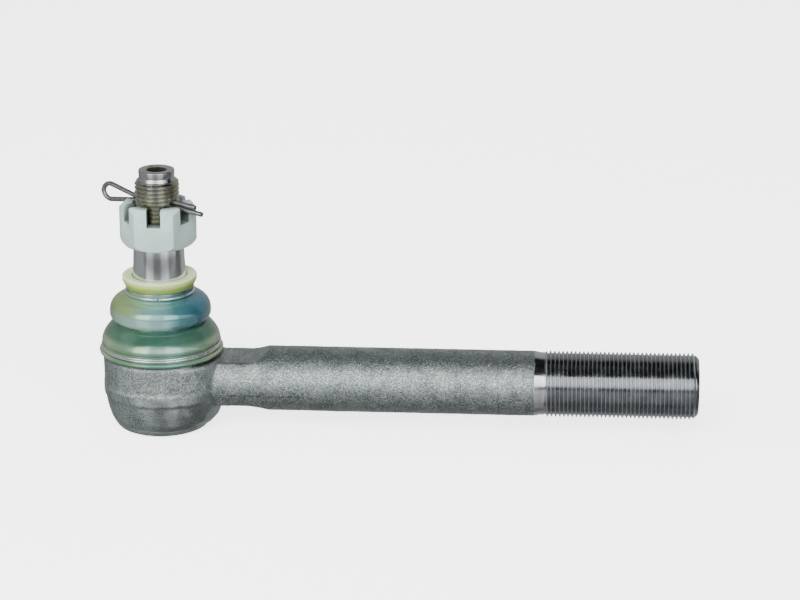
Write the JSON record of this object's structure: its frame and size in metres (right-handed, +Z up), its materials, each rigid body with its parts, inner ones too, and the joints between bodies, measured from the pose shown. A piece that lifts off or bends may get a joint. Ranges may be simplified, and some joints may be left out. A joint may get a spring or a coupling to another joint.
{
  "type": "tie rod end",
  "caption": "Tie rod end: forged ball housing with threaded shank, rubber boot, and a tapered ball stud with slotted nut and split pin.",
  "frame": {"origin": "centre of the ball, where the stud's axis crosses the shank's axis", "axes": "+X along the shank towards its threaded end, +Z up the stud from the ball to the socket in its top"},
  "size_m": [0.2168, 0.0448, 0.0962],
  "materials": {
    "forged_steel": "shot-blasted forging, turned bright on the thread",
    "seat_plastic": "moulded acetal",
    "spring_steel": "phosphated spring steel",
    "cover_steel": "pressed steel plate",
    "seal_rubber": "moulded",
    "ground_steel": "ground bright",
    "zinc_plate": "pale zinc plate, satin",
    "pin_steel": "drawn wire",
    "boot_rubber": "glossy dark green rubber",
    "ring_wire": "bright spring wire",
    "collar_nylon": "cream nylon, slightly translucent"
  },
  "bodies": {
    "housing": {"housing": "forged_steel", "end_cover": "cover_steel", "disc_spring": "spring_steel", "cover_seal": "seal_rubber", "boot_lower_ring": "ring_wire"},
    "bearing": {"upper_ball_seat": "seat_plastic", "lower_ball_seat": "seat_plastic", "dust_boot": "boot_rubber"},
    "collar": {"sealing_collar": "collar_nylon", "boot_upper_ring": "ring_wire"},
    "stud": {"ball_stud": "ground_steel", "castle_nut": "zinc_plate", "cotter_pin": "pin_steel"}
  },
  "joints": [
    {"name": "lean_direction", "type": "hinge", "parent": "housing", "child": "bearing", "pos_m": [0, 0, 0], "axis": [0, 0, 1], "continuous": true},
    {"name": "stud_swing", "type": "hinge", "parent": "bearing", "child": "collar", "pos_m": [0, 0, 0], "axis": [0, 1, 0], "range_deg": [-20, 20], "deforming": ["dust_boot"]},
    {"name": "stud_spin", "type": "hinge", "parent": "collar", "child": "stud", "pos_m": [0, 0, 0], "axis": [0, 0, 1], "continuous": true}
  ]
}
